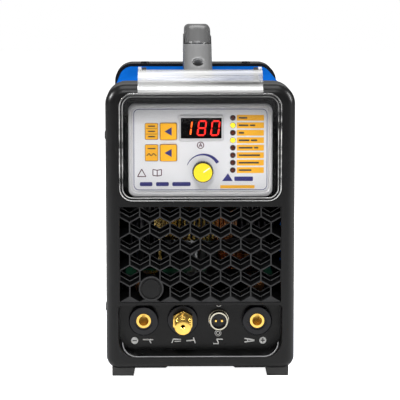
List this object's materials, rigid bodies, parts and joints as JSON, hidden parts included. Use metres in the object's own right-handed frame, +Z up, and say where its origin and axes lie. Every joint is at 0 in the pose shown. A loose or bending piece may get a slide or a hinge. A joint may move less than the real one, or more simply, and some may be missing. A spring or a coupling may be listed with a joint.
{
  "type": "welding machine",
  "caption": "compact inverter welding machine with a clear flip-up door over its controls, a honeycomb grille, front connectors, a blue steel cover and a top carrying handle",
  "frame": {"origin": "on the floor plane under the middle of the machine's footprint", "axes": "+X to the right as seen from the front, -Y towards the front, +Z up"},
  "size_m": [0.1806, 0.44, 0.3225],
  "materials": {
    "black_shell": "moulded black plastic with a fine grain",
    "gloss_black": "smooth glossy black plastic",
    "blue_paint": "bright blue powder coat",
    "zinc_steel": "zinc plated steel",
    "foot_rubber": "black rubber",
    "light_grey": "light grey moulded plastic",
    "overlay_film": "printed satin film",
    "display_black": "dark display filter",
    "clear_plastic": "clear polycarbonate",
    "pin_steel": "turned steel",
    "key_yellow": "yellow plastic",
    "led_lens": "dark red lens",
    "switch_black": "black plastic",
    "switch_red": "red plastic",
    "circuit_board": "green circuit board",
    "nylon": "white nylon",
    "brass": "machined brass",
    "chrome": "chromed brass",
    "handle_grey": "dark grey satin plastic",
    "handle_black": "black satin plastic",
    "hose_black": "black rubber hose",
    "aluminium": "extruded aluminium",
    "component_black": "moulded component body",
    "ferrite": "dark ferrite and core iron",
    "copper": "enamelled copper"
  },
  "bodies": {
    "root": {"front_panel": "black_shell", "rear_panel": "black_shell", "front_grille": "black_shell", "blanking_plug": "black_shell", "connector_plate": "gloss_black", "negative_socket_flange": "gloss_black", "positive_socket_flange": "gloss_black", "torch_flange": "gloss_black", "aviation_insulator": "gloss_black", "top_cover": "blue_paint", "base_plate": "zinc_steel", "case_screws": "zinc_steel", "fan_guard": "zinc_steel", "fan_screws": "zinc_steel", "handle_screws": "zinc_steel", "board_supports": "zinc_steel", "panel_nuts": "zinc_steel", "feet": "foot_rubber", "control_bezel": "light_grey", "display_frame": "light_grey", "control_overlay": "overlay_film", "display_window": "display_black", "display_module": "display_black", "door_hinge_pins": "pin_steel", "indicator_leds": "led_lens", "key_switches": "switch_black", "power_switch_body": "switch_black", "cable_gland": "switch_black", "fan_housing": "switch_black", "potentiometer_body": "switch_black", "control_board": "circuit_board", "power_board": "circuit_board", "pcb_standoffs": "nylon", "negative_socket_insert": "brass", "positive_socket_insert": "brass", "torch_connector": "brass", "gas_inlet": "brass", "gas_valve_body": "brass", "aviation_pins": "brass", "aviation_shell": "chrome", "handle_body": "handle_grey", "handle_grip": "handle_black", "gas_hose": "hose_black", "heatsinks": "aluminium", "power_transistors": "component_black", "capacitors": "component_black", "transformer_core": "ferrite", "output_choke_core": "ferrite", "transformer_winding": "copper", "output_choke_winding": "copper", "busbars": "copper"},
    "door": {"clear_door": "clear_plastic"},
    "knob": {"knob_skirt": "gloss_black", "knob_cap": "key_yellow", "potentiometer_shaft": "pin_steel"},
    "mode_key": {"mode_button": "key_yellow"},
    "wave_key": {"wave_button": "key_yellow"},
    "fan": {"fan_rotor": "switch_black"},
    "switch_rocker": {"power_rocker": "switch_red"},
    "plunger": {"valve_plunger": "pin_steel"}
  },
  "joints": [
    {"name": "door_hinge", "type": "hinge", "parent": "root", "child": "door", "pos_m": [0, -0.175, 0.2865], "axis": [-1, 0, 0], "range_deg": [0, 165]},
    {"name": "knob_turn", "type": "hinge", "parent": "root", "child": "knob", "pos_m": [0.0024, -0.2, 0.1933], "axis": [0, 1, 0], "range_deg": [-205, 95]},
    {"name": "mode_key_press", "type": "slide", "parent": "root", "child": "mode_key", "axis": [0, 1, 0], "range_m": [0, 0.0005], "stiffness_N_per_m": 900, "springref_m": -0.0002},
    {"name": "wave_key_press", "type": "slide", "parent": "root", "child": "wave_key", "axis": [0, 1, 0], "range_m": [0, 0.0005], "stiffness_N_per_m": 900, "springref_m": -0.0002},
    {"name": "fan_spin", "type": "hinge", "parent": "root", "child": "fan", "pos_m": [0, 0.17, 0.147], "axis": [0, 1, 0], "continuous": true},
    {"name": "rocker_tilt", "type": "hinge", "parent": "root", "child": "switch_rocker", "pos_m": [0.052, 0.193, 0.236], "axis": [-1, 0, 0], "range_deg": [0, 20]},
    {"name": "plunger_lift", "type": "slide", "parent": "root", "child": "plunger", "axis": [0, 0, 1], "range_m": [0, 0.0015], "stiffness_N_per_m": 400, "springref_m": -0.002}
  ]
}
